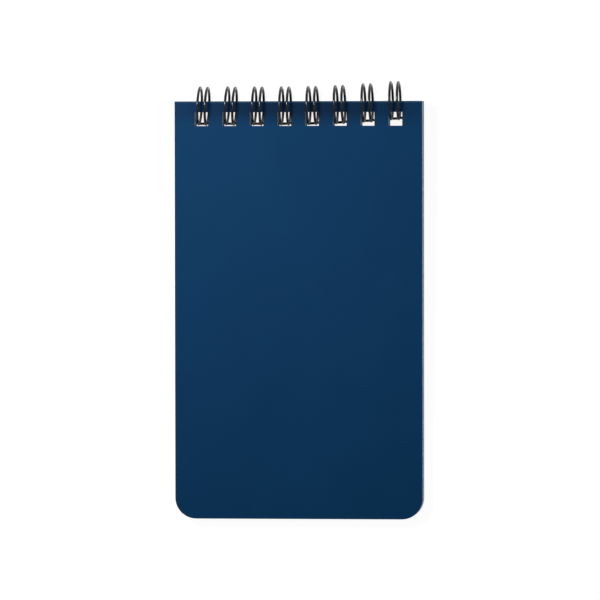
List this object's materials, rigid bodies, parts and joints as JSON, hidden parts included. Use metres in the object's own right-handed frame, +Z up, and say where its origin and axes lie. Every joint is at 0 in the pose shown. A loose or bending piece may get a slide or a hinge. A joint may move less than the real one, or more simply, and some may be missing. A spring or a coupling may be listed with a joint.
{
  "type": "reporter notebook",
  "caption": "Pocket notebook bound along its short top edge by a twin-loop wire through square holes, with card covers that swing open and a block of punched sheets.",
  "frame": {"origin": "middle of the notebook's box, on the surface that it lies on", "axes": "+X to the right across the pad, +Y along the pad towards the wire, +Z up from the back cover to the front cover"},
  "size_m": [0.0756, 0.1332, 0.012],
  "materials": {
    "cover_card": "matte",
    "page_paper": "matte",
    "back_board": "matte",
    "coated_wire": "satin"
  },
  "bodies": {
    "pad": {"page_block": "page_paper", "binding_wire": "coated_wire"},
    "front_cover": {"front_cover": "cover_card"},
    "back_cover": {"back_cover": "back_board"}
  },
  "joints": [
    {"name": "front_cover_hinge", "type": "hinge", "parent": "pad", "child": "front_cover", "pos_m": [0, 0.05973, 0.00572], "axis": [-1, 0, 0], "range_deg": [0, 180]},
    {"name": "back_cover_hinge", "type": "hinge", "parent": "pad", "child": "back_cover", "pos_m": [0, 0.05956, 0.00651], "axis": [1, 0, 0], "range_deg": [0, 180]}
  ]
}
